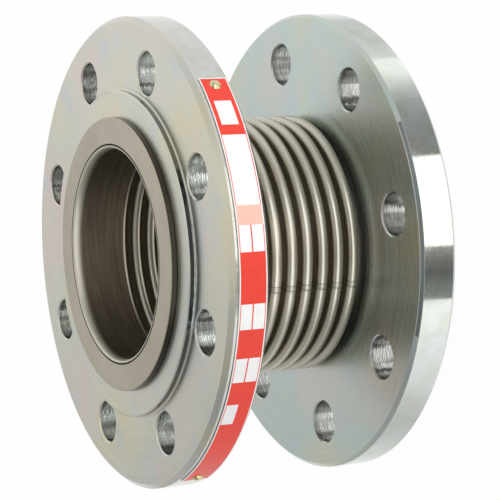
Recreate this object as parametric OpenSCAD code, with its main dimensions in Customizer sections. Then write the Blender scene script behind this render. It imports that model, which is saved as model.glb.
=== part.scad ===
// Axial expansion joint: a stainless bellows between two loose plate flanges.
// It stands on its lower lap ring. The pipe axis is +Z and z = 0 is the lower sealing face.
// Lengths are in millimetres and angles are in degrees.

/* [Flange] */
// Outside diameter of a flange
flange_d = 200; // [196:1:220]
// Thickness of a flange at its rim, without the raised face
flange_t = 17; // [15:0.5:24]
// Diameter of the raised face
raised_face_d = 138; // [130:0.5:139]
// Height of the raised face above the rim
raised_face_h = 3; // [2:0.25:4]
// Fillet at the foot of the raised face
raised_face_fillet = 0.8; // [0.4:0.1:1.2]
// Chamfer of the raised face's edge
raised_face_chamfer = 0.5; // [0.2:0.1:0.8]
// Gap all round between a flange's bore and the bellows neck that it turns on
bore_gap = 1.95; // [1.75:0.05:3]
// Chamfer of the bore on the side of the lap ring
bore_chamfer = 1; // [0.5:0.25:2]
// Chamfer of the rim's outer edge
outer_chamfer = 2; // [0.5:0.25:2.5]
// Chamfer of the rim's edge towards the bellows
inner_chamfer = 1.5; // [0.5:0.25:2.5]

/* [Bolt holes] */
// Diameter of the bolt circle
bolt_circle_d = 160; // [159:0.25:162]
// Diameter of a bolt hole
bolt_hole_d = 18; // [14:0.5:18]
// Number of bolt holes in a flange
bolt_count = 8; // [4:4:12]
// Chamfer at both ends of a bolt hole
bolt_hole_chamfer = 0.6; // [0.2:0.1:0.8]
// Angle of the first bolt hole in the upper flange, as it was left turned
upper_hole_angle = 29.1; // [0:0.1:45]
// Angle of the first bolt hole in the lower flange, as it was left turned
lower_hole_angle = 14.8; // [0:0.1:45]

/* [Lap ring] */
// Width of a lap ring, from the sleeve out to its edge
ring_w = 11.75; // [10:0.25:14]
// Thickness of a lap ring, by which it stands proud of the raised face
ring_t = 2.5; // [2:0.25:4]
// Radius of the ring's outer edge on the sealing side
ring_edge_r = 0.5; // [0.2:0.1:0.8]
// Depth of the groove round the ring's bore, between the ring and the sleeve
groove_depth = 0.8; // [0.4:0.1:1.2]
// Width of that groove on the sealing side
groove_w = 0.4; // [0.2:0.1:0.8]

/* [Sleeve] */
// Bore of the sleeve that carries the bellows neck
sleeve_bore_d = 89.2; // [88:0.1:90]
// Wall of the sleeve
sleeve_wall = 1.6; // [1.2:0.1:2]
// How far the sleeve's rounded mouth opens outwards at the sealing face
sleeve_lip_w = 1.1; // [0.4:0.1:1.1]
// Depth of that rounded mouth along the pipe
sleeve_lip_l = 4; // [1:0.25:6]
// How far the sleeve reaches past the flange towards the bellows
sleeve_reach = 1; // [0:0.1:1.4]

/* [Bellows] */
// Number of convolutions
convolutions = 9; // [5:1:12]
// Length of one convolution with the joint at rest
pitch = 7.2; // [6.8:0.1:8]
// Height of a convolution over the neck
fold_h = 8.95; // [7.45:0.25:10.45]
// Wall of the bellows, all plies together
bellows_wall = 0.8; // [0.6:0.05:1]
// Outside width of one crest
crest_w = 4.8; // [4.4:0.1:5]
// Plain neck between a flange and the first convolution
neck_l = 1.6; // [1:0.1:3]
// Length of neck that lies over the sleeve inside a flange
neck_lap = 10; // [6:0.5:12]

/* [Welds] */
// Leg of the fillet weld between a lap ring and its sleeve
ring_weld_leg = 1.8; // [1:0.1:2]
// Length of the seam weld at the end of a bellows neck
neck_weld_l = 1.4; // [0.8:0.1:2]

/* [Nameplate] */
// Width of the nameplate along the axis
plate_w = 12; // [8:0.5:13]
// Thickness of the nameplate
plate_t = 0.5; // [0.3:0.05:1]
// Distance of the nameplate from the flange's outer face
plate_inset = 3.3; // [2.6:0.1:4]
// Angle of the nameplate's first end
plate_start = -152; // [-170:1:-130]
// Angle that the nameplate covers
plate_span = 112; // [80:1:140]
// Length along the rim from an end of the nameplate to its rivet
rivet_inset = 3.8; // [2.4:0.1:6]
// Diameter of a rivet's domed head
rivet_head_d = 4.8; // [3:0.1:6]
// Height of a rivet's domed head
rivet_head_h = 1.4; // [0.8:0.1:1.8]
// Diameter of a rivet's shank
rivet_shank_d = 2; // [1:0.1:2.4]
// Length of a rivet's shank inside the rim
rivet_shank_l = 5; // [3:0.5:8]

/* [Clearances] */
// Play between a lap ring and the flange that turns behind it
face_play = 0.2; // [0.1:0.05:0.5]
// Gap between pieces that are pushed over each other
seat_gap = 0.05; // [0.02:0.01:0.1]

/* [Hidden] */
$fn = 96;
// Cuts run this far past the solid they cut
past = 1;
// Steps in a quarter turn of a round edge, of the sleeve's mouth and of a fold
edge_steps = 4;
mouth_steps = 6;
fold_steps = 8;

// Radii of the tubes that sit inside each other, from the pipe outwards
sleeve_ri = sleeve_bore_d / 2;
sleeve_ro = sleeve_ri + sleeve_wall;
neck_ri = sleeve_ro + seat_gap;
neck_ro = neck_ri + bellows_wall;
ring_ri = sleeve_ro + seat_gap;
ring_ro = ring_ri + ring_w;

// Heights of one end, counted from its own sealing face towards the bellows
raised_face_z = ring_t + face_play;
rim_z = raised_face_z + raised_face_h;
flange_back_z = rim_z + flange_t;
folds_z = flange_back_z + neck_l;
sleeve_l = flange_back_z + sleeve_reach;
neck_end_z = flange_back_z - neck_lap;

// Length of the whole joint at rest, from sealing face to sealing face
joint_l = 2 * folds_z + convolutions * pitch;

// Middle line of the bellows wall
crest_r = crest_w / 2 - bellows_wall / 2;
root_r = pitch / 2 - crest_r;
wall_root = neck_ri + bellows_wall / 2;
wall_crest = neck_ro + fold_h - bellows_wall / 2;

// Nameplate on the rim of the upper flange
plate_ri = flange_d / 2 + seat_gap;
plate_ro = plate_ri + plate_t;
plate_z = joint_l - rim_z - plate_inset - plate_w;
rim_arc = 180 / (PI * plate_ro);
left_rivet_angle = plate_start + rivet_inset * rim_arc;
right_rivet_angle = plate_start + plate_span - rivet_inset * rim_arc;
rivet_z = plate_z + plate_w / 2;
rivet_hole_d = rivet_shank_d + 2 * seat_gap;

// Points of an arc in the plane of a profile
function arc(cx, cy, r, from, to, steps) =
    [for (i = [0 : steps]) let (a = from + (to - from) * i / steps)
        [cx + r * cos(a), cy + r * sin(a)]];

// One surface of the folds, out from the middle line by side: plus is outside, minus is inside
function fold_line(side) = [for (i = [0 : convolutions - 1])
    let (z = folds_z + i * pitch)
    each concat(
        arc(wall_root + root_r, z, root_r - side, 180, 90, fold_steps),
        arc(wall_crest - crest_r, z + pitch / 2, crest_r + side, -90, 90, 2 * fold_steps),
        arc(wall_root + root_r, z + pitch, root_r - side, -90, -180, fold_steps))];

// Turns its children over, so that an end drawn from z = 0 becomes the upper end
module upper_end() {
    translate([0, 0, joint_l]) mirror([0, 0, 1]) children();
}

// Loose plate flange with a raised face, drawn with its sealing side down
module flange(hole_angle) {
    bore_r = neck_ro + bore_gap;
    rim_r = flange_d / 2;
    face_r = raised_face_d / 2;
    foot_r = face_r + raised_face_fillet;
    foot_z = rim_z - raised_face_fillet;
    difference() {
        rotate_extrude() polygon(concat(
            [[bore_r, raised_face_z + bore_chamfer], [bore_r + bore_chamfer, raised_face_z],
             [face_r - raised_face_chamfer, raised_face_z], [face_r, raised_face_z + raised_face_chamfer]],
            arc(foot_r, foot_z, raised_face_fillet, 180, 90, edge_steps),
            [[rim_r - outer_chamfer, rim_z], [rim_r, rim_z + outer_chamfer],
             [rim_r, flange_back_z - inner_chamfer], [rim_r - inner_chamfer, flange_back_z],
             [bore_r, flange_back_z]]));
        for (i = [0 : bolt_count - 1])
            rotate(hole_angle + i * 360 / bolt_count)
                translate([bolt_circle_d / 2, 0, rim_z]) bolt_hole();
    }
}

// Bolt hole through the rim, chamfered at both mouths
module bolt_hole() {
    r = bolt_hole_d / 2;
    flare = bolt_hole_chamfer + past;
    translate([0, 0, -past]) cylinder(r = r, h = flange_t + 2 * past);
    translate([0, 0, -past]) cylinder(r1 = r + flare, r2 = r, h = flare);
    translate([0, 0, flange_t - bolt_hole_chamfer]) cylinder(r1 = r, r2 = r + flare, h = flare);
}

// Flat stainless ring that seals against the pipe's flange
module lap_ring() {
    rotate_extrude() polygon(concat(
        [[ring_ri, groove_depth], [ring_ri + groove_w, 0]],
        arc(ring_ro - ring_edge_r, ring_edge_r, ring_edge_r, -90, 0, edge_steps),
        [[ring_ro, ring_t], [ring_ri, ring_t]]));
}

// Thin tube inside the ring and the neck, with a rounded mouth at the sealing face
module sleeve() {
    mouth = [for (p = arc(1, 1, 1, 180, 270, mouth_steps))
        [sleeve_ri + sleeve_lip_w * p[0], sleeve_lip_l * p[1]]];
    rotate_extrude() polygon(concat(mouth,
        [[sleeve_ro, 0], [sleeve_ro, sleeve_l], [sleeve_ri, sleeve_l]]));
}

// Fillet weld that holds the ring on the sleeve, inside the flange's bore
module ring_weld() {
    r = sleeve_ro + seat_gap;
    z = ring_t + seat_gap;
    rotate_extrude() polygon([[r, z], [r + ring_weld_leg, z], [r, z + ring_weld_leg]]);
}

// Seam weld that closes the end of the bellows neck on the sleeve
module neck_weld() {
    r = sleeve_ro + seat_gap;
    z = neck_end_z - seat_gap;
    rotate_extrude() polygon([[r, z], [r, z - neck_weld_l], [r + bellows_wall, z]]);
}

// Corrugated tube with a plain neck at each end
module folds() {
    half = bellows_wall / 2;
    outside = fold_line(half);
    inside = fold_line(-half);
    n = len(inside);
    rotate_extrude() polygon(concat(
        [[neck_ro, neck_end_z]], outside, [[neck_ro, joint_l - neck_end_z],
         [neck_ri, joint_l - neck_end_z]],
        [for (i = [n - 1 : -1 : 0]) inside[i]], [[neck_ri, neck_end_z]]));
}

module lower_lap_ring() { color([0.69, 0.65, 0.58]) lap_ring(); }
module lower_sleeve() { color([0.62, 0.58, 0.52]) sleeve(); }
module lower_ring_weld() { color([0.5, 0.48, 0.46]) ring_weld(); }
module lower_neck_weld() { color([0.5, 0.48, 0.46]) neck_weld(); }
module bellows() { color([0.59, 0.55, 0.5]) folds(); }
module lower_flange() { color([0.78, 0.79, 0.77]) flange(lower_hole_angle); }
module upper_lap_ring() { color([0.69, 0.65, 0.58]) upper_end() lap_ring(); }
module upper_sleeve() { color([0.62, 0.58, 0.52]) upper_end() sleeve(); }
module upper_ring_weld() { color([0.5, 0.48, 0.46]) upper_end() ring_weld(); }
module upper_neck_weld() { color([0.5, 0.48, 0.46]) upper_end() neck_weld(); }

// Radial holes for the two rivets, from radius r out
module rivet_holes(r, h) {
    for (a = [left_rivet_angle, right_rivet_angle])
        rotate(a) translate([r, 0, rivet_z]) rotate([0, 90, 0]) cylinder(d = rivet_hole_d, h = h);
}

module upper_flange() {
    color([0.78, 0.79, 0.77]) difference() {
        upper_end() flange(upper_hole_angle);
        rivet_holes(flange_d / 2 - rivet_shank_l - past, rivet_shank_l + 2 * past);
    }
}

module nameplate() {
    color([0.92, 0.25, 0.2]) difference() {
        translate([0, 0, plate_z]) rotate(plate_start) rotate_extrude(angle = plate_span)
            translate([plate_ri, 0]) square([plate_t, plate_w]);
        rivet_holes(plate_ri - past, plate_t + 2 * past);
    }
}

module left_rivet() { color([0.8, 0.66, 0.36]) drive_rivet(left_rivet_angle); }
module right_rivet() { color([0.8, 0.66, 0.36]) drive_rivet(right_rivet_angle); }

// Domed drive rivet through the nameplate into the rim
module drive_rivet(angle) {
    dome_r = (pow(rivet_head_d / 2, 2) + pow(rivet_head_h, 2)) / (2 * rivet_head_h);
    shank_l = rivet_shank_l + plate_t;
    rotate(angle) translate([plate_ro + seat_gap, 0, rivet_z]) rotate([0, 90, 0])
        rotate_extrude() polygon(concat(
            arc(0, rivet_head_h - dome_r, dome_r, asin(1 - rivet_head_h / dome_r), 90, edge_steps),
            [[0, -shank_l], [rivet_shank_d / 2, -shank_l], [rivet_shank_d / 2, 0]]));
}

lower_lap_ring();
lower_sleeve();
lower_ring_weld();
lower_neck_weld();
bellows();
lower_flange();
upper_lap_ring();
upper_sleeve();
upper_ring_weld();
upper_neck_weld();
upper_flange();
nameplate();
left_rivet();
right_rivet();
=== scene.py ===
import bpy
import math
from mathutils import Matrix, Vector


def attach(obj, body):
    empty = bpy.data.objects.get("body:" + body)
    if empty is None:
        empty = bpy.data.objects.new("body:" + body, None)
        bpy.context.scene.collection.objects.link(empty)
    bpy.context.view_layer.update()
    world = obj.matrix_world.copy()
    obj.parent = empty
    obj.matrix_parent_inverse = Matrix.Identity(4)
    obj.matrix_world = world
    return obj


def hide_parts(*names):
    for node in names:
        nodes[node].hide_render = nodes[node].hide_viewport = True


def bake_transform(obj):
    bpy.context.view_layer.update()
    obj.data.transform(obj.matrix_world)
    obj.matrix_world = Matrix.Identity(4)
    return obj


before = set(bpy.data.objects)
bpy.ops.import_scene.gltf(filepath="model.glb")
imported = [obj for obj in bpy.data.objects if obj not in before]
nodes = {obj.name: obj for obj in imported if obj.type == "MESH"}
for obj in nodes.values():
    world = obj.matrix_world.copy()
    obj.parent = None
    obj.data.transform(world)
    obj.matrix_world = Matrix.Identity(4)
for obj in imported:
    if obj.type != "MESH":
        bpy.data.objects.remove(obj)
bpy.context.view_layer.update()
mm = 0.001
print("frame loaded")


# Camera. The pipe axis lies level in the photo, so the picture's up is +X.
photoView = {
    "turn": -27.09,          # degrees round from the rim's side towards the open end
    "rise": 7.79,            # degrees above the level pipe axis
    "distance": 859.4,       # mm
    "target": (0.28, -15.86, 56.7),
    "lens": 144.36,
}


def placeCamera(view):
    turn = math.radians(view["turn"])
    rise = math.radians(view["rise"])
    back = Vector((
        math.sin(rise),
        -math.cos(turn) * math.cos(rise),
        -math.sin(turn) * math.cos(rise),
    ))
    right = Vector((1, 0, 0)).cross(back).normalized()
    up = back.cross(right)
    lens = bpy.data.cameras.new("photoCamera")
    lens.lens = view["lens"]
    lens.sensor_width = 36
    lens.clip_start = 0.01
    lens.clip_end = 50
    camera = bpy.data.objects.new("photoCamera", lens)
    bpy.context.scene.collection.objects.link(camera)
    turned = Matrix((right, up, back)).transposed()
    spot = (Vector(view["target"]) + back * view["distance"]) * mm
    camera.matrix_world = Matrix.Translation(spot) @ turned.to_4x4()
    bpy.context.scene.camera = camera


placeCamera(photoView)
print("camera placed")


# Small helpers for node trees
def newFinish(name):
    finish = bpy.data.materials.new(name)
    finish.use_nodes = True
    tree = finish.node_tree
    return finish, tree, tree.nodes["Principled BSDF"]


def addNode(tree, kind, values=None, **settings):
    node = tree.nodes.new(kind)
    for key, value in settings.items():
        setattr(node, key, value)
    for key, value in (values or {}).items():
        socket = node.inputs[key]
        if isinstance(value, bpy.types.NodeSocket):
            tree.links.new(value, socket)
        else:
            socket.default_value = value
    return node


def calc(tree, operation, a, b=0.0, c=0.0):
    return addNode(tree, "ShaderNodeMath", {0: a, 1: b, 2: c}, operation=operation).outputs[0]


def times(tree, first, *others):
    product = first
    for factor in others:
        product = calc(tree, "MULTIPLY", product, factor)
    return product


def blendValue(tree, share, a, b):
    return addNode(tree, "ShaderNodeMix", {0: share, 2: a, 3: b}).outputs[0]


def blendColour(tree, share, a, b):
    values = {0: share, 6: a, 7: b}
    return addNode(tree, "ShaderNodeMix", values, data_type="RGBA").outputs[2]


def layerColours(tree, colour, layers):
    # each layer is the share that it covers and its colour
    for share, layer in layers:
        colour = blendColour(tree, share, colour, layer)
    return colour


def spread(tree, value, low, high, outLow, outHigh):
    ends = {"From Min": low, "From Max": high, "To Min": outLow, "To Max": outHigh}
    return addNode(tree, "ShaderNodeMapRange", {"Value": value} | ends).outputs[0]


def cloud(tree, vector, scale, detail=2.0, rough=0.5):
    values = {"Vector": vector, "Scale": scale, "Detail": detail, "Roughness": rough}
    return addNode(tree, "ShaderNodeTexNoise", values).outputs[0]


def pack(tree, x, y, z):
    return addNode(tree, "ShaderNodeCombineXYZ", {0: x, 1: y, 2: z}).outputs[0]


def shifted(tree, vector, offset):
    values = {0: vector, 1: offset}
    return addNode(tree, "ShaderNodeVectorMath", values, operation="ADD").outputs[0]


def scaled(tree, vector, scale):
    values = {0: vector, "Scale": scale}
    return addNode(tree, "ShaderNodeVectorMath", values, operation="SCALE").outputs[0]


def axisPlaces(tree):
    # place on the piece: millimetres along and out from the pipe axis, and the angle round it
    coords = addNode(tree, "ShaderNodeTexCoord")
    place = scaled(tree, coords.outputs["Object"], 1 / mm)
    x, y, z = addNode(tree, "ShaderNodeSeparateXYZ", {0: place}).outputs
    normal = addNode(tree, "ShaderNodeSeparateXYZ", {0: coords.outputs["Normal"]}).outputs
    return {
        "place": place,
        "x": x,
        "y": y,
        "z": z,
        "radius": calc(tree, "SQRT", calc(tree, "ADD", times(tree, x, x), times(tree, y, y))),
        "angle": calc(tree, "ARCTAN2", y, x),
        "normalX": normal[0],
        "normalY": normal[1],
        "flat": calc(tree, "GREATER_THAN", calc(tree, "ABSOLUTE", normal[2]), 0.5),
    }


def setMetal(tree, shader, colour, rough):
    shader.inputs["Metallic"].default_value = 1.0
    tree.links.new(colour, shader.inputs["Base Color"])
    tree.links.new(rough, shader.inputs["Roughness"])


def setTurned(tree, shader, share):
    # tool marks run round the axis, so the shine spreads across them
    shader.inputs["Anisotropic"].default_value = share
    shader.inputs["Anisotropic Rotation"].default_value = 0.25
    roundTangent(tree, shader)


def roundTangent(tree, shader):
    tangent = addNode(tree, "ShaderNodeTangent", direction_type="RADIAL", axis="Z")
    tree.links.new(tangent.outputs[0], shader.inputs["Tangent"])


def setBump(tree, shader, height, strength, distance):
    values = {"Height": height, "Strength": strength, "Distance": distance}
    bump = addNode(tree, "ShaderNodeBump", values)
    tree.links.new(bump.outputs[0], shader.inputs["Normal"])


# Finishes. First, where things lie on the joint in mm, along the pipe axis from its middle and
# out from the axis
places = {
    "middle": 56.7,          # height of the middle itself, so also its way to each sealing face
    "flange": 42.7,          # to the middle of a flange
    "chamfer": 34.7,         # to a flange's chamfer on the bellows' side
    "chamferHalf": 0.65,
    "chamferFrom": 98.75,
    "rimFrom": 97.0,         # steep faces farther out than this are the rim
    "bolts": 80.0,           # bolt circle
    "boltsReach": 11.0,      # steep faces this near to it are a hole's wall
    "stepTo": 70.5,          # steep faces nearer than this belong to the raised face
    "grooveTo": 46.85,       # the ring's inner edge, where painted shade lies beside the sleeve
    "lipFrom": 45.95,        # the sleeve's outer edge
}


def fromMiddle(tree, at):
    # distance along the pipe axis from the middle of the joint
    return calc(tree, "ABSOLUTE", calc(tree, "SUBTRACT", at["z"], places["middle"]))


# Zinc-plated flanges
zinc = {
    "plain": (0.655, 0.625, 0.555, 1),
    "green": (0.59, 0.605, 0.55, 1),
    "pink": (0.71, 0.585, 0.54, 1),
    "straw": (0.70, 0.62, 0.45, 1),
    "blue": (0.53, 0.585, 0.64, 1),
    "cool": (0.50, 0.60, 0.585, 1),      # the lower flange's plating leans this way
    "coolAgain": 0.6,        # share of that lean that also covers the pink and straw patches
    "fineMark": (0.36, 0.37, 0.36, 1),
    "broadMark": (0.36, 0.38, 0.37, 1),
    "rim": (0.62, 0.63, 0.62, 1),
    "rimStain": (0.55, 0.56, 0.50, 1),
    # painted reflection on the bolt holes' walls, dark and glinting
    "holeShade": (0.13, 0.125, 0.115, 1),
    "holeGlint": (0.97, 0.99, 0.96, 1),
    "edgeShade": (0.16, 0.17, 0.18, 1),   # painted shade on the chamfer towards the bellows
    "stepShade": (0.06, 0.065, 0.07, 1),  # painted shade on the edge of the raised face
    "fineShare": 0.11,       # how strongly each colour lies over the plating
    "broadShare": 0.13,
    "rimShare": 0.75,
    "edgeShare": 0.85,
    "stepShare": 0.65,
    "stepShadedSide": 0.3,      # what the shaded side adds to that painted shade
    "shadedSideAt": -80,        # the side of the rim where the edges get the most painted shade, in degrees
    "shadedSideHalf": 26,
    "mouthFrom": 5.8,        # a hole's mouth darkens between these, in mm from the flange's middle
    "mouthTo": 7.6,
    "rough": 0.26,           # roughness of the turned faces
    "rimRough": 0.13,        # of the rim and the raised face's edge
    "holeRough": 0.26,
    "turned": 0.6,           # how far the shine spreads across the lathe's marks
}


def latheMarks(tree, at):
    # rings left by the lathe: across the radius on a flat, across the length on the rim
    across = blendValue(tree, at["flat"], at["z"], at["radius"])
    turn = times(tree, at["angle"], 1.5)
    fine = cloud(tree, pack(tree, times(tree, across, 3.2), turn, 0.0), 1.0, 3.0, 0.6)
    slow = pack(tree, times(tree, across, 0.5), times(tree, turn, 0.4), 4.0)
    return fine, cloud(tree, slow, 1.0, 2.0, 0.5)


def platingColour(tree, at, cool):
    # the plating's colours lie in large soft patches
    patchA = cloud(tree, at["place"], 0.020)
    patchB = cloud(tree, shifted(tree, at["place"], (31.0, 7.0, 90.0)), 0.019)
    patchC = cloud(tree, shifted(tree, at["place"], (5.0, 61.0, 12.0)), 0.05)
    return layerColours(tree, zinc["plain"], (
        (spread(tree, patchA, 0.42, 0.62, 0.0, 1.0), zinc["green"]),
        (cool, zinc["cool"]),
        (spread(tree, patchB, 0.50, 0.66, 0.0, 0.9), zinc["pink"]),
        (spread(tree, patchB, 0.50, 0.34, 0.0, 0.9), zinc["straw"]),
        (cool * zinc["coolAgain"], zinc["cool"]),
        (spread(tree, patchC, 0.55, 0.70, 0.0, 0.6), zinc["blue"]),
    ))


def drilledWall(tree, at, deep):
    # walls of the bolt holes: pale painted glints in chatter marks along the hole, ragged where the
    # drill's rings cross them, with painted dark reflection bands and a dark mouth
    wall = calc(tree, "ARCTAN2", at["normalY"], at["normalX"])
    crossing = pack(tree, times(tree, at["z"], 1.9), times(tree, wall, 1.6), at["angle"])
    rings = cloud(tree, crossing, 1.0, 2.0, 0.6)
    ragged = calc(tree, "MULTIPLY_ADD", rings, 0.8, times(tree, wall, 1.6))
    along = pack(tree, ragged, at["angle"], times(tree, at["z"], 0.02))
    chatterGlint = cloud(tree, along, 1.0, 2.5, 0.6)
    around = pack(tree, times(tree, wall, 1.3), times(tree, at["angle"], 4.0), 2.0)
    reflectionBands = cloud(tree, around, 1.0, 1.0, 0.4)
    colour = layerColours(tree, zinc["holeShade"], (
        (spread(tree, chatterGlint, 0.34, 0.46, 0.0, 1.0), zinc["holeGlint"]),
        (spread(tree, rings, 0.38, 0.60, 0.40, 0.0), zinc["holeShade"]),
        (spread(tree, reflectionBands, 0.49, 0.41, 0.0, 0.6), zinc["holeShade"]),
        (spread(tree, deep, zinc["mouthFrom"], zinc["mouthTo"], 0.0, 0.6), zinc["holeShade"]),
    ))
    return colour, rings


def turnedRough(tree, at, fine, broad, zones):
    # the lathe's marks vary the roughness on the faces, and a fine grain varies it on the rim
    inHole, onRim, onStep = zones
    low = zinc["rough"] - 0.05
    high = zinc["rough"] + 0.07
    rough = spread(tree, calc(tree, "ADD", fine, broad), 0.7, 1.3, low, high)
    rough = blendValue(tree, inHole, rough, zinc["holeRough"])
    grain = cloud(tree, at["place"], 1.3, 3.0, 0.7)
    low = zinc["rimRough"] - 0.04
    high = zinc["rimRough"] + 0.16
    rough = blendValue(tree, onRim, rough, spread(tree, grain, 0.40, 0.70, low, high))
    return blendValue(tree, onStep, rough, zinc["rimRough"])


def turnedZinc(name, cool):
    finish, tree, shader = newFinish(name)
    at = axisPlaces(tree)
    radius = at["radius"]
    steep = calc(tree, "SUBTRACT", 1.0, at["flat"])
    nearBolts = calc(tree, "COMPARE", radius, places["bolts"], places["boltsReach"])
    inHole = times(tree, steep, nearBolts)
    onRim = times(tree, steep, calc(tree, "GREATER_THAN", radius, places["rimFrom"]))
    onStep = times(tree, steep, calc(tree, "LESS_THAN", radius, places["stepTo"]))
    away = fromMiddle(tree, at)
    deep = calc(tree, "ABSOLUTE", calc(tree, "SUBTRACT", away, places["flange"]))
    onEdge = times(
        tree,
        calc(tree, "GREATER_THAN", radius, places["chamferFrom"]),
        calc(tree, "COMPARE", away, places["chamfer"], places["chamferHalf"]),
    )
    # the edges get their painted shade mostly on one side of the rim
    start = math.radians(zinc["shadedSideAt"])
    shadedSide = calc(tree, "COMPARE", at["angle"], start, math.radians(zinc["shadedSideHalf"]))
    fine, broad = latheMarks(tree, at)
    drilled, rings = drilledWall(tree, at, deep)
    mottle = cloud(tree, at["place"], 0.10, 3.0, 0.6)
    stained = spread(tree, mottle, 0.42, 0.62, 0.0, 1.0)
    rimColour = blendColour(tree, stained, zinc["rim"], zinc["rimStain"])
    edgeShare = times(tree, shadedSide, zinc["edgeShare"])
    stepShare = calc(tree, "MULTIPLY_ADD", shadedSide, zinc["stepShadedSide"], zinc["stepShare"])
    colour = layerColours(tree, platingColour(tree, at, cool), (
        (spread(tree, fine, 0.3, 0.65, zinc["fineShare"], 0.0), zinc["fineMark"]),
        (spread(tree, broad, 0.35, 0.6, zinc["broadShare"], 0.0), zinc["broadMark"]),
        (times(tree, onRim, zinc["rimShare"]), rimColour),
        # painted shade on the chamfer towards the bellows
        (times(tree, onEdge, edgeShare), zinc["edgeShade"]),
        # painted shade on the raised face's edge
        (times(tree, onStep, stepShare), zinc["stepShade"]),
        (inHole, drilled),
    ))
    setMetal(tree, shader, colour, turnedRough(tree, at, fine, broad, (inHole, onRim, onStep)))
    setTurned(tree, shader, zinc["turned"])
    lathe = times(tree, fine, calc(tree, "MULTIPLY_ADD", onRim, -0.01, 0.035))
    setBump(tree, shader, blendValue(tree, inHole, lathe, rings), 0.5, 0.0006)
    return finish


# Stainless rings, sleeves and welds. Each roughness goes from the smoothest spots to the dullest.
stainless = {
    "ring": (0.51, 0.455, 0.375, 1),
    "ringDark": (0.42, 0.365, 0.295, 1),
    "ringSideShade": (0.07, 0.06, 0.05, 1),       # painted shade on the ring's outer side wall
    # painted shade in the ring's groove and on the sleeve's outer edge
    "dirtAndShade": (0.05, 0.04, 0.03, 1),
    "sleeve": (0.50, 0.45, 0.38, 1),
    "sleeveDark": (0.26, 0.22, 0.18, 1),
    # painted highlight on the sleeve's mouth
    "mouth": (0.64, 0.59, 0.51, 1),
    "weld": (0.40, 0.36, 0.32, 1),
    "weldDark": (0.25, 0.20, 0.17, 1),
    "grooveShadeShare": 0.85,       # of the painted shade in the ring's groove
    "lipShare": 0.8,         # and on the sleeve's outer edge
    "sideShare": 0.92,
    "mouthFrom": 4.2,        # the sleeve's mouth is painted brighter between these, in mm from its end, as a painted highlight
    "mouthTo": 2.2,
    "ringRough": (0.38, 0.50),
    "sideRough": 0.22,
    "sleeveRough": (0.26, 0.38),
    "mouthRough": 0.48,
    "weldRough": (0.35, 0.55),
    "turned": 0.3,           # how far the ring's shine spreads across its marks
}


def satinRing(name):
    finish, tree, shader = newFinish(name)
    at = axisPlaces(tree)
    marks = pack(tree, times(tree, at["radius"], 4.0), times(tree, at["angle"], 2.0), at["z"])
    fine = cloud(tree, marks, 1.0, 3.0, 0.6)
    broad = cloud(tree, at["place"], 0.05, 3.0, 0.6)
    grain = cloud(tree, at["place"], 1.6, 2.0, 0.6)
    groove = calc(tree, "LESS_THAN", at["radius"], places["grooveTo"])
    side = calc(tree, "SUBTRACT", 1.0, at["flat"])
    colour = layerColours(tree, stainless["ring"], (
        (spread(tree, broad, 0.35, 0.7, 0.0, 0.7), stainless["ringDark"]),
        (spread(tree, fine, 0.3, 0.7, 0.2, 0.0), stainless["ringDark"]),
        # painted shade in the groove beside the sleeve
        (times(tree, groove, stainless["grooveShadeShare"]), stainless["dirtAndShade"]),
        # the ring's outer side wall is painted nearly black as painted shade
        (times(tree, side, stainless["sideShare"]), stainless["ringSideShade"]),
    ))
    rough = spread(tree, grain, 0.3, 0.7, *stainless["ringRough"])
    setMetal(tree, shader, colour, blendValue(tree, side, rough, stainless["sideRough"]))
    setTurned(tree, shader, stainless["turned"])
    height = calc(tree, "ADD", times(tree, fine, 0.6), times(tree, grain, 0.5))
    setBump(tree, shader, height, 0.3, 0.0002)
    return finish


def sleeveWall(name):
    finish, tree, shader = newFinish(name)
    at = axisPlaces(tree)
    # drawn streaks run slowly across the wall as they go round
    slant = calc(tree, "ADD", at["z"], times(tree, at["angle"], 2.0))
    drawn = pack(tree, times(tree, slant, 0.6), times(tree, at["angle"], 1.2), 0.0)
    streak = cloud(tree, drawn, 1.0, 3.0, 0.5)
    # the rounded mouth at the sealing face is painted bright as a painted highlight, and painted shade
    # darkens its outer edge
    inward = calc(tree, "SUBTRACT", places["middle"], fromMiddle(tree, at))
    mouth = spread(tree, inward, stainless["mouthFrom"], stainless["mouthTo"], 0.0, 1.0)
    lip = calc(tree, "GREATER_THAN", at["radius"], places["lipFrom"])
    colour = layerColours(tree, stainless["sleeve"], (
        (spread(tree, streak, 0.35, 0.65, 0.0, 0.9), stainless["sleeveDark"]),
        # painted highlight on the sleeve's mouth
        (mouth, stainless["mouth"]),
        # painted shade on the sleeve's outer edge
        (times(tree, lip, stainless["lipShare"]), stainless["dirtAndShade"]),
    ))
    rough = spread(tree, streak, 0.3, 0.7, *stainless["sleeveRough"])
    setMetal(tree, shader, colour, blendValue(tree, mouth, rough, stainless["mouthRough"]))
    setBump(tree, shader, streak, 0.05, 0.0002)
    return finish


def weldBead(name):
    finish, tree, shader = newFinish(name)
    at = axisPlaces(tree)
    ripple = calc(tree, "SINE", times(tree, at["angle"], 260.0))
    burnt = cloud(tree, at["place"], 0.9, 3.0, 0.6)
    dark = spread(tree, burnt, 0.35, 0.65, 0.0, 1.0)
    colour = blendColour(tree, dark, stainless["weld"], stainless["weldDark"])
    setMetal(tree, shader, colour, spread(tree, burnt, 0.3, 0.7, *stainless["weldRough"]))
    setBump(tree, shader, calc(tree, "ADD", ripple, burnt), 0.5, 0.0002)
    return finish


# Drive rivets
rivet = {
    "brass": (0.78, 0.66, 0.40, 1),
    "dirtAndShade": (0.45, 0.36, 0.20, 1),
    "rough": (0.18, 0.34),
}


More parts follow.
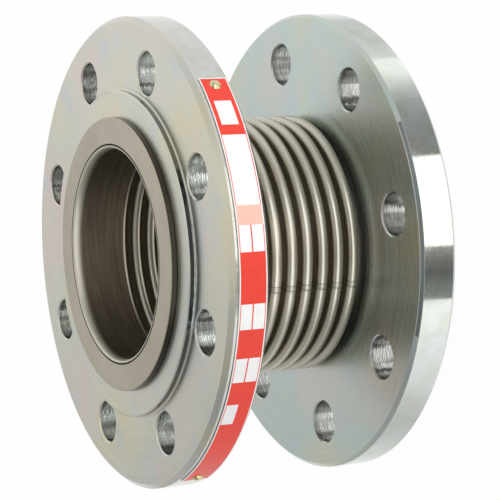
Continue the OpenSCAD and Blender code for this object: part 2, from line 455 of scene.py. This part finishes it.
def brassHead(name):
    finish, tree, shader = newFinish(name)
    at = axisPlaces(tree)
    dirtAndShade = cloud(tree, at["place"], 1.1, 3.0, 0.6)
    dullAndShade = spread(tree, dirtAndShade, 0.4, 0.7, 0.0, 0.7)
    colour = blendColour(tree, dullAndShade, rivet["brass"], rivet["dirtAndShade"])
    setMetal(tree, shader, colour, spread(tree, dirtAndShade, 0.3, 0.7, *rivet["rough"]))
    setBump(tree, shader, dirtAndShade, 0.15, 0.0002)
    return finish


def dress(name, finish):
    piece = nodes[name]
    for slot in piece.material_slots:
        slot.material = finish


dress("lower_flange", turnedZinc("lowerZinc", 0.6))
dress("upper_flange", turnedZinc("upperZinc", 0.0))
ringFinish = satinRing("lapRingSatin")
dress("lower_lap_ring", ringFinish)
dress("upper_lap_ring", ringFinish)
sleeveFinish = sleeveWall("sleeveDrawn")
dress("lower_sleeve", sleeveFinish)
dress("upper_sleeve", sleeveFinish)
weldFinish = weldBead("weldBead")
for weldName in ("lower_ring_weld", "lower_neck_weld", "upper_ring_weld", "upper_neck_weld"):
    dress(weldName, weldFinish)
rivetFinish = brassHead("rivetBrass")
dress("left_rivet", rivetFinish)
dress("right_rivet", rivetFinish)
print("finishes on the packed pieces")


# Bellows: the corrugated tube, with necks that lie on the sleeves
bellows = {
    "folds": 9,
    "pitch": 7.2,
    "firstFold": 24.3,       # height where the folds start
    "crestBend": 2.0,        # bend radii on the middle line of the wall
    "rootBend": 1.6,
    "rootLine": 46.65,       # radius of the middle line at a root
    "crestLine": 55.6,       # and at a crest
    "wall": 0.8,
    "neckEnd": 12.7,         # from the sealing face to the neck's end
    "length": 113.4,         # of the joint over its two sealing faces
    "bendSteps": 6,
    "roundSteps": 180,
    "seamAt": -101.6,        # degrees
    "seamHalf": 1.25,        # half the width of the sheet's lengthwise weld
    "seamHigh": 0.22,        # how far its bead stands out on the crests and roots
    "seamCuts": (-1.0, -0.7, -0.35, 0.0, 0.35, 0.7, 1.0),   # across the bead, in half widths
    "seamEdgeAt": 1.2,       # to each of its two thin dark edges, and half of their width
    "seamEdgeHalf": 0.22,
    "colour": (0.62, 0.58, 0.50, 1),
    "dark": (0.50, 0.46, 0.39, 1),
    # painted shade at the bottoms of the folds outside
    "rootPaintedShade": (0.24, 0.20, 0.16, 1),
    "rootsFrom": 48.4,       # radii between which the painted shade at the roots fades
    "rootsTo": 50.4,
    "seamBead": (0.40, 0.36, 0.32, 1),
    "seamEdge": (0.20, 0.17, 0.14, 1),
    "rootShare": 0.7,
    "edgeShare": 0.7,
    "rough": (0.33, 0.41),
    "rootRough": 0.5,
}


def bend(centreOut, centreAlong, radius, start, stop, steps):
    points = []
    for i in range(steps + 1):
        a = math.radians(start + (stop - start) * i / steps)
        points.append((centreOut + radius * math.cos(a), centreAlong + radius * math.sin(a)))
    return points


def foldSide(size, side):
    line = []
    n = size["bendSteps"]
    for i in range(size["folds"]):
        z = size["firstFold"] + i * size["pitch"]
        rootAt = size["rootLine"] + size["rootBend"]
        crestAt = size["crestLine"] - size["crestBend"]
        line += bend(rootAt, z, size["rootBend"] - side, 180, 90, n)[1 if i else 0:]
        line += bend(crestAt, z + size["pitch"] / 2, size["crestBend"] + side, -90, 90, 2 * n)
        line += bend(rootAt, z + size["pitch"], size["rootBend"] - side, -90, -180, n)
    return line


def turnProfile(name, profile, angles):
    # sweeps a closed profile of (out, along) points round the pipe axis
    verts = []
    for a in angles:
        c = math.cos(a)
        s = math.sin(a)
        verts += [(out * c * mm, out * s * mm, along * mm) for out, along in profile]
    n = len(profile)
    m = len(angles)
    faces = []
    for j in range(m):
        for i in range(n):
            k = (i + 1) % n
            nextTurn = (j + 1) % m
            faces.append((j * n + i, nextTurn * n + i, nextTurn * n + k, j * n + k))
    mesh = bpy.data.meshes.new(name)
    mesh.from_pydata(verts, [], faces)
    mesh.validate()
    piece = bpy.data.objects.new(name, mesh)
    bpy.context.scene.collection.objects.link(piece)
    return piece


def roundAngles(size):
    # even steps round the axis, with finer ones across the seam
    halfTurn = math.degrees(size["seamHalf"] / size["crestLine"])
    angles = [halfTurn * cut for cut in size["seamCuts"]]
    steps = size["roundSteps"]
    angles += [halfTurn + (360 - 2 * halfTurn) * i / steps for i in range(1, steps)]
    return [math.radians(size["seamAt"] + a) for a in angles]


def raiseSeam(piece, size, outerCount, profileCount):
    # the bead stands out where the wall faces outwards, and fades on the sides of the folds
    middle = math.radians(size["seamAt"])
    out = Vector((math.cos(middle), math.sin(middle), 0))
    verts = piece.data.vertices
    normals = [Vector(vert.normal) for vert in verts]
    for column, cut in enumerate(size["seamCuts"]):
        high = size["seamHigh"] * (1 - cut * cut)
        for i in range(outerCount):
            k = column * profileCount + i
            verts[k].co += out * (high * max(0.0, normals[k].dot(out)) * mm)


def drawnFolds(name, size):
    finish, tree, shader = newFinish(name)
    at = axisPlaces(tree)
    radius = at["radius"]
    marks = pack(tree, times(tree, at["z"], 3.0), times(tree, at["angle"], 2.0), times(tree, radius, 3.0))
    fine = cloud(tree, marks, 1.0, 3.0, 0.6)
    broad = cloud(tree, at["place"], 0.04)
    # the sheet's lengthwise seam weld: two thin edges with a rippled bead between them
    off = times(tree, calc(tree, "SUBTRACT", at["angle"], math.radians(size["seamAt"])), radius)
    edgeAt = size["seamEdgeAt"]
    bead = calc(tree, "COMPARE", off, 0.0, edgeAt)
    edges = calc(tree, "COMPARE", calc(tree, "ABSOLUTE", off), edgeAt, size["seamEdgeHalf"])
    rippled = pack(tree, times(tree, at["z"], 1.6), times(tree, off, 1.2), radius)
    ripple = cloud(tree, rippled, 1.0)
    # the bottoms of the folds are rougher and carry painted shade in dark brown outside, but stay bright
    # where they show in the bore
    outX = times(tree, at["normalX"], at["x"])
    outY = times(tree, at["normalY"], at["y"])
    outside = spread(tree, calc(tree, "ADD", outX, outY), -6.0, 6.0, 0.0, 1.0)
    root = spread(tree, radius, size["rootsFrom"], size["rootsTo"], 1.0, 0.0)
    dullAndShade = times(tree, outside, root)
    colour = layerColours(tree, size["colour"], (
        (spread(tree, broad, 0.35, 0.7, 0.0, 0.6), size["dark"]),
        (spread(tree, fine, 0.3, 0.7, 0.25, 0.0), size["dark"]),
        # painted shade at the folds' bottoms
        (times(tree, dullAndShade, size["rootShare"]), size["rootPaintedShade"]),
        (times(tree, bead, spread(tree, ripple, 0.4, 0.6, 0.0, 0.5)), size["seamBead"]),
        (times(tree, edges, size["edgeShare"]), size["seamEdge"]),
    ))
    rough = spread(tree, fine, 0.3, 0.7, *size["rough"])
    rough = calc(tree, "ADD", rough, times(tree, bead, 0.04))
    setMetal(tree, shader, colour, blendValue(tree, dullAndShade, rough, size["rootRough"]))
    height = calc(tree, "ADD", times(tree, fine, 0.12), times(tree, bead, times(tree, ripple, 0.25)))
    setBump(tree, shader, height, 0.3, 0.0003)
    return finish


def makeBellows(size):
    half = size["wall"] / 2
    outside = foldSide(size, half)
    inside = foldSide(size, -half)
    outer = size["rootLine"] + half
    inner = size["rootLine"] - half
    lower = size["neckEnd"]
    upper = size["length"] - lower
    profile = [(outer, lower)] + outside + [(outer, upper)]
    profile += [(inner, upper)] + inside[::-1] + [(inner, lower)]
    piece = turnProfile("bellowsFolds", profile, roundAngles(size))
    raiseSeam(piece, size, len(outside) + 2, len(profile))
    piece.data.polygons.foreach_set("use_smooth", [True] * len(piece.data.polygons))
    piece.data.materials.append(drawnFolds("bellowsStainless", size))
    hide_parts("bellows")
    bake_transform(piece)


makeBellows(bellows)
print("bellows made")


# Nameplate: a printed strip riveted round the upper flange's rim, all its fields bare
plate = {
    "inner": 100.05,
    "outer": 100.55,
    "low": 92.4,             # its two long edges, along the pipe axis
    "high": 104.4,
    "first": -152.0,         # degrees
    "last": -40.0,
    "border": 0.5,           # bare white edge
    "line": 0.35,            # printed line beside a field
    "midShare": 0.8,         # half of the line between two rows, as a share of that
    "boxInset": 2.3,
    "fineStep": 1.0,         # degrees between cuts, so that the strip stays round
    "red": (0.74, 0.045, 0.025, 1),
    "salmon": (0.86, 0.47, 0.38, 1),
    "white": (0.80, 0.79, 0.77, 1),
    "inkShade": 0.86,        # how dark the print's mottling goes
    "inkShine": 0.35,        # the print's specular level
    "sheared": (0.78, 0.78, 0.78, 1),    # the bare aluminium edges
    "shearedDark": (0.6, 0.6, 0.6, 1),
    "edgeRough": (0.25, 0.4),
}
# The plate's fields from its first end: where each ends, in degrees, and its kind
plateFields = [
    (-125.4, "red"),
    (-119.4, "half"),
    (-113.2, "red"),
    (-107.1, "pair"),
    (-100.2, "red"),
    (-94.4, "pair"),
    (-82.9, "red"),
    (-77.0, "pair"),
    (-72.6, "salmon"),
    (-56.1, "long"),
    (-53.5, "red"),
    (-47.0, "box"),
    (-40.0, "red"),
]


# The strip's materials in order
whiteInk = 0
redInk = 1
salmonInk = 2
bareEdge = 3


def platePrint(name, ink, rough):
    finish, tree, shader = newFinish(name)
    at = axisPlaces(tree)
    mottle = cloud(tree, at["place"], 0.12, 3.0, 0.55)
    peel = cloud(tree, at["place"], 0.7)
    darker = tuple(channel * plate["inkShade"] for channel in ink[:3]) + (1,)
    colour = blendColour(tree, spread(tree, mottle, 0.35, 0.7, 0.0, 0.6), ink, darker)
    tree.links.new(colour, shader.inputs["Base Color"])
    uneven = spread(tree, peel, 0.3, 0.7, rough - 0.05, rough + 0.06)
    tree.links.new(uneven, shader.inputs["Roughness"])
    shader.inputs["Specular IOR Level"].default_value = plate["inkShine"]
    setBump(tree, shader, peel, 0.08, 0.0002)
    return finish


def plateEdge(name):
    finish, tree, shader = newFinish(name)
    at = axisPlaces(tree)
    cuts = pack(tree, times(tree, at["radius"], 8.0), times(tree, at["angle"], 40.0), at["z"])
    shear = cloud(tree, cuts, 1.0)
    colour = blendColour(tree, shear, plate["sheared"], plate["shearedDark"])
    setMetal(tree, shader, colour, spread(tree, shear, 0.3, 0.7, *plate["edgeRough"]))
    return finish


def inkAt(size, kind, low, high):
    # the ink of the patch of a field between two heights
    middle = (low + high) / 2
    edge = min(middle - size["low"], size["high"] - middle)
    centre = (size["low"] + size["high"]) / 2
    if edge < size["border"]:
        return whiteInk
    if kind == "red":
        return redInk
    if kind == "salmon":
        return salmonInk
    if kind == "box":
        return redInk if edge < size["boxInset"] else whiteInk
    if edge < size["border"] + size["line"]:
        return redInk
    if kind == "pair":
        return redInk if abs(middle - centre) < size["line"] * size["midShare"] else whiteInk
    if kind == "half":
        return whiteInk if middle > centre else redInk
    return whiteInk


def plateHeights(size):
    # the heights between which the print changes
    gap = size["line"] * size["midShare"]
    centre = (size["low"] + size["high"]) / 2
    insets = [0, size["border"], size["border"] + size["line"], size["boxInset"]]
    heights = [size["low"] + d for d in insets]
    heights += [centre - gap, centre, centre + gap]
    return heights + [size["high"] - d for d in reversed(insets)]


def plateCuts(size, fields):
    # the angles of the cuts along the strip, and the kind of field between each two of them
    borderTurn = math.degrees(size["border"] / size["outer"])
    stops = [(size["first"], None), (size["first"] + borderTurn, "rim")]
    for end, kind in fields:
        stops.append((end, kind))
    stops[-1] = (size["last"] - borderTurn, fields[-1][1])
    stops.append((size["last"], "rim"))
    cuts = [stops[0][0]]
    kinds = []
    for i in range(1, len(stops)):
        start = stops[i - 1][0]
        stop, kind = stops[i]
        count = max(1, math.ceil((stop - start) / size["fineStep"]))
        for k in range(count):
            cuts.append(start + (stop - start) * (k + 1) / count)
            kinds.append(kind)
    return cuts, kinds


def makeNameplate(size, fields):
    heights = plateHeights(size)
    cuts, kinds = plateCuts(size, fields)
    verts = []
    faces = []
    inks = []

    def point(radius, angle, height):
        a = math.radians(angle)
        verts.append((radius * math.cos(a) * mm, radius * math.sin(a) * mm, height * mm))
        return len(verts) - 1

    grid = [[point(size["outer"], a, h) for h in heights] for a in cuts]
    for i, kind in enumerate(kinds):
        for j in range(len(heights) - 1):
            faces.append((grid[i][j], grid[i + 1][j], grid[i + 1][j + 1], grid[i][j + 1]))
            inks.append(whiteInk if kind == "rim" else inkAt(size, kind, heights[j], heights[j + 1]))
    # the back and the four sheared edges
    low = [(point(size["outer"], a, size["low"]), point(size["inner"], a, size["low"])) for a in cuts]
    high = [(point(size["outer"], a, size["high"]), point(size["inner"], a, size["high"])) for a in cuts]
    back = [(point(size["inner"], a, size["low"]), point(size["inner"], a, size["high"])) for a in cuts]
    for i in range(len(cuts) - 1):
        faces.append((low[i][1], low[i + 1][1], low[i + 1][0], low[i][0]))
        faces.append((high[i][0], high[i + 1][0], high[i + 1][1], high[i][1]))
        faces.append((back[i][1], back[i + 1][1], back[i + 1][0], back[i][0]))
        inks += [bareEdge] * 3
    for a, flip in ((cuts[0], False), (cuts[-1], True)):
        ring = [
            point(size["outer"], a, size["low"]),
            point(size["outer"], a, size["high"]),
            point(size["inner"], a, size["high"]),
            point(size["inner"], a, size["low"]),
        ]
        faces.append(tuple(reversed(ring)) if flip else tuple(ring))
        inks.append(bareEdge)
    mesh = bpy.data.meshes.new("nameplateStrip")
    mesh.from_pydata(verts, [], faces)
    mesh.polygons.foreach_set("material_index", inks)
    mesh.polygons.foreach_set("use_smooth", [ink != bareEdge for ink in inks])
    piece = bpy.data.objects.new("nameplateStrip", mesh)
    bpy.context.scene.collection.objects.link(piece)
    mesh.materials.append(platePrint("plateWhite", size["white"], 0.35))
    mesh.materials.append(platePrint("plateRed", size["red"], 0.33))
    mesh.materials.append(platePrint("plateSalmon", size["salmon"], 0.35))
    mesh.materials.append(plateEdge("plateEdge"))
    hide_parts("nameplate")
    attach(piece, "upper_flange")


makeNameplate(plate, plateFields)
print("nameplate made")


# Stage: pale floor, studio light, and cards that only the metal sees
studio = {
    "floorSize": 12.0,       # metres, as all lengths of the stage
    "floorDrop": 0.0002,     # below the part, so that the two don't share a face
    "floorColour": (0.92, 0.92, 0.92, 1),
    "floorShade": 0.97,      # how dark its mottling goes
    "whiteShare": 0.96,      # how far its own white wins over its shading
    "soft": (0.62, 0.63, 0.64, 1),       # the room's light on what isn't metal
    # brightness that the metal sees, and where each begins and ends in the directions round it
    "farSide": 1.04,
    "farFrom": 0.6,
    "nearSide": 0.50,
    "nearFrom": -0.6,
    "overhead": 1.08,
    "overheadAt": (0.70, 0.86),
    "table": 0.60,           # share of it that is left towards the picture's lower side
    "tableAt": (0.0, -0.30),
    "lens": 0.10,            # the dark spot where the camera stands
    "lensAt": (0.82, 0.94),
    "strip": 3.0,            # the soft band of light beside the camera
    "stripAt": (-0.55, -0.75),
    "stripLevel": 0.02,
    "stripHalf": (0.46, 0.14),
    "tint": (0.97, 1.0, 0.985),
    "toLens": Vector((0.136, -0.882, 0.451)),    # from the part to where the camera stands
    "cardFrom": 0.1005,      # the cards are laid out from a rim of this radius
    "cardLift": 0.0001,
    "cardSteps": 20,
    "lowerReach": (0, 0.05),         # heights on the rim that mirror a card's near and far edges
    "upperReach": (0.090, 0.112),
    "lampAim": (0, 0, 0.057),
}
# Each lamp's name, place, width, height and power
lamps = [
    ("keyBox", (1.1, -0.7, 1.1), 0.9, 0.9, 14),
    ("sideBox", (-0.3, -1.5, 0.35), 0.5, 1.2, 8),
]
# Cards laid on the floor round the joint: where on a rim each shows, in degrees, and its
# brightness at evenly spaced places from one end to the other
rimCards = [
    ((-158, -128), (0.92, 0.94, 0.88, 0.80, 0.80, 0.86)),
    ((-128, -97.4), (0.88, 1.02, 1.18, 1.30, 1.45, 1.50)),
    ((-97.4, -84.6), (0.36, 0.30, 0.18, 0.26, 0.50)),
    ((-84.6, -62.8), (2.1, 2.1)),
    ((-62.8, -32.6), (0.38, 0.37, 0.44, 0.56, 0.95, 1.50, 1.40)),
    ((-32.6, -8), (1.05, 0.92, 0.84, 0.80)),
]


def seenRays(tree):
    # camera rays, and all the rays by which the floor's and the room's white is seen
    path = addNode(tree, "ShaderNodeLightPath").outputs
    camera = path["Is Camera Ray"]
    shown = calc(tree, "MAXIMUM", camera, path["Is Glossy Ray"])
    return camera, calc(tree, "MAXIMUM", shown, path["Is Transmission Ray"])


def makeFloor(size):
    half = size["floorSize"] / 2
    mesh = bpy.data.meshes.new("floor")
    corners = [(-half, -half, 0), (half, -half, 0), (half, half, 0), (-half, half, 0)]
    mesh.from_pydata(corners, [], [(0, 1, 2, 3)])
    floor = bpy.data.objects.new("floor", mesh)
    floor.location.z = -size["floorDrop"]
    bpy.context.scene.collection.objects.link(floor)
    finish, tree, shader = newFinish("floorPale")
    coords = addNode(tree, "ShaderNodeTexCoord")
    paper = cloud(tree, coords.outputs["Object"], 3.0)
    light = size["floorColour"]
    darker = tuple(channel * size["floorShade"] for channel in light[:3]) + (1,)
    tree.links.new(blendColour(tree, paper, light, darker), shader.inputs["Base Color"])
    shader.inputs["Roughness"].default_value = 0.9
    seen = seenRays(tree)[1]
    white = addNode(tree, "ShaderNodeEmission", {"Color": (1, 1, 1, 1), "Strength": 1.0})
    share = times(tree, seen, size["whiteShare"])
    ends = {0: share, 1: shader.outputs[0], 2: white.outputs[0]}
    mixed = addNode(tree, "ShaderNodeMixShader", ends)
    tree.links.new(mixed.outputs[0], tree.nodes["Material Output"].inputs["Surface"])
    mesh.materials.append(finish)


def levelAt(levels, share):
    # brightness at a share of the way through evenly spaced levels
    place = (len(levels) - 1) * share
    j = min(int(place), len(levels) - 2)
    return levels[j] + (levels[j + 1] - levels[j]) * (place - j)


def cardFinish(name, size):
    finish, tree, shader = newFinish(name)
    bright = addNode(tree, "ShaderNodeAttribute", attribute_name="shade").outputs["Fac"]
    values = {"Color": size["tint"] + (1,), "Strength": bright}
    glow = addNode(tree, "ShaderNodeEmission", values)
    tree.links.new(glow.outputs[0], tree.nodes["Material Output"].inputs["Surface"])
    return finish


def makeRimCard(name, size, ends, levels, reach):
    # the card lies where a rim mirrors it, so that its ends show as straight lines on the rim
    first, last = ends
    away = -size["toLens"]
    steps = size["cardSteps"]
    verts = []
    faces = []
    shades = []
    for k in range(steps + 1):
        a = math.radians(first + (last - first) * k / steps)
        out = Vector((math.cos(a), math.sin(a), 0))
        mirrored = away - 2 * away.dot(out) * out
        onFloor = Vector((mirrored.x, mirrored.y, 0)) / -mirrored.z
        for height in reach:
            spot = out * size["cardFrom"] + onFloor * height
            verts.append((spot.x, spot.y, size["cardLift"]))
        shades += [levelAt(levels, k / steps)] * 2
    for k in range(steps):
        faces.append((2 * k, 2 * k + 1, 2 * k + 3, 2 * k + 2))
    mesh = bpy.data.meshes.new(name)
    mesh.from_pydata(verts, [], faces)
    shade = mesh.attributes.new("shade", "FLOAT", "POINT")
    shade.data.foreach_set("value", shades)
    mesh.materials.append(cardFinish(name, size))
    card = bpy.data.objects.new(name, mesh)
    card.visible_camera = False
    card.visible_diffuse = False
    card.visible_shadow = False
    card.visible_transmission = False
    bpy.context.scene.collection.objects.link(card)


def roomLevel(tree, size, coords):
    # brightness in each direction: far and near side, overhead, table side, lens and soft band
    x, y, z = addNode(tree, "ShaderNodeSeparateXYZ", {0: coords}).outputs
    level = spread(tree, y, size["nearFrom"], size["farFrom"], size["nearSide"], size["farSide"])
    level = blendValue(tree, spread(tree, z, *size["overheadAt"], 0.0, 1.0), level, size["overhead"])
    level = times(tree, level, spread(tree, x, *size["tableAt"], 1.0, size["table"]))
    facing = {0: coords, 1: size["toLens"]}
    near = addNode(tree, "ShaderNodeVectorMath", facing, operation="DOT_PRODUCT").outputs["Value"]
    level = blendValue(tree, spread(tree, near, *size["lensAt"], 0.0, 1.0), level, size["lens"])
    offLevel = calc(tree, "ABSOLUTE", calc(tree, "SUBTRACT", z, size["stripLevel"]))
    band = spread(tree, offLevel, *size["stripHalf"], 0.0, 1.0)
    band = times(tree, band, spread(tree, y, *size["stripAt"], 0.0, 1.0))
    return blendValue(tree, band, level, size["strip"])


def makeWorld(size):
    world = bpy.data.worlds.new("studio")
    bpy.context.scene.world = world
    world.use_nodes = True
    tree = world.node_tree
    tree.nodes.clear()
    camera, seen = seenRays(tree)
    coords = addNode(tree, "ShaderNodeTexCoord").outputs["Generated"]
    shine = scaled(tree, size["tint"], roomLevel(tree, size, coords))
    lit = blendColour(tree, seen, size["soft"], shine)
    colour = blendColour(tree, camera, lit, (1, 1, 1, 1))
    back = addNode(tree, "ShaderNodeBackground", {"Color": colour, "Strength": 1.0})
    out = addNode(tree, "ShaderNodeOutputWorld")
    tree.links.new(back.outputs[0], out.inputs["Surface"])


def softbox(name, spot, aim, width, height, power):
    lamp = bpy.data.lights.new(name, "AREA")
    lamp.shape = "RECTANGLE"
    lamp.size = width
    lamp.size_y = height
    lamp.energy = power
    box = bpy.data.objects.new(name, lamp)
    box.location = spot
    way = Vector(aim) - Vector(spot)
    box.rotation_mode = "QUATERNION"
    box.rotation_quaternion = way.to_track_quat("-Z", "Y")
    box.visible_glossy = False     # the metal sees the room and the cards, not the lamps
    bpy.context.scene.collection.objects.link(box)


makeFloor(studio)
for i, (ends, levels) in enumerate(rimCards):
    makeRimCard(f"lowerCard{i}", studio, ends, levels, studio["lowerReach"])
for i, (ends, levels) in enumerate(rimCards[1:4]):   # those that the upper rim shows
    makeRimCard(f"upperCard{i}", studio, ends, levels, studio["upperReach"])
makeWorld(studio)
for name, spot, width, height, power in lamps:
    softbox(name, spot, studio["lampAim"], width, height, power)
bpy.context.scene.view_settings.view_transform = "Standard"
print("stage set")
